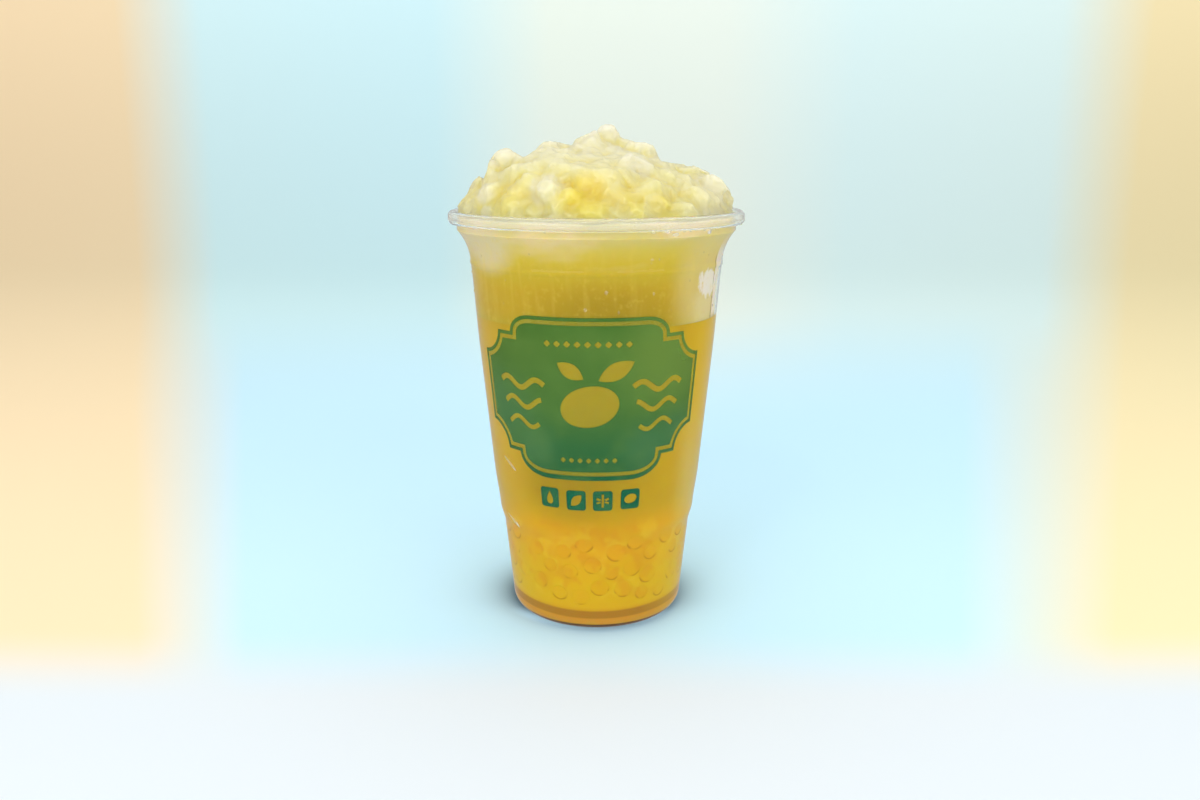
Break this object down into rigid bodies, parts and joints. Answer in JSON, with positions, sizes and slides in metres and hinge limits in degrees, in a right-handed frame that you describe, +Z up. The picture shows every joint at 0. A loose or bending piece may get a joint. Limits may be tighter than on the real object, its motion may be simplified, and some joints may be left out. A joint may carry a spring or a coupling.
{
  "type": "mango bubble tea",
  "caption": "Iced mango drink in a clear flared plastic cup with a curled rim, fruit pearls on its floor and crushed ice heaped above the rim.",
  "frame": {"origin": "centre of the circle on which the cup stands, in the plane of the table", "axes": "+Z up along the cup's axis, -Y towards the printed front, +X to the right of the print"},
  "size_m": [0.098, 0.098, 0.1662],
  "materials": {
    "clear_plastic": "clear, glossy, thin-walled",
    "mango_pearls": "wet, translucent, orange-yellow",
    "mango_tea": "cloudy yellow liquid",
    "crushed_ice": "wet crushed ice, pale yellow, translucent",
    "print_ink": "thin green printing ink on the cup's wall"
  },
  "bodies": {
    "root": {"cup": "clear_plastic", "mango_pearls": "mango_pearls", "mango_tea": "mango_tea", "crushed_ice": "crushed_ice"}
  },
  "joints": []
}
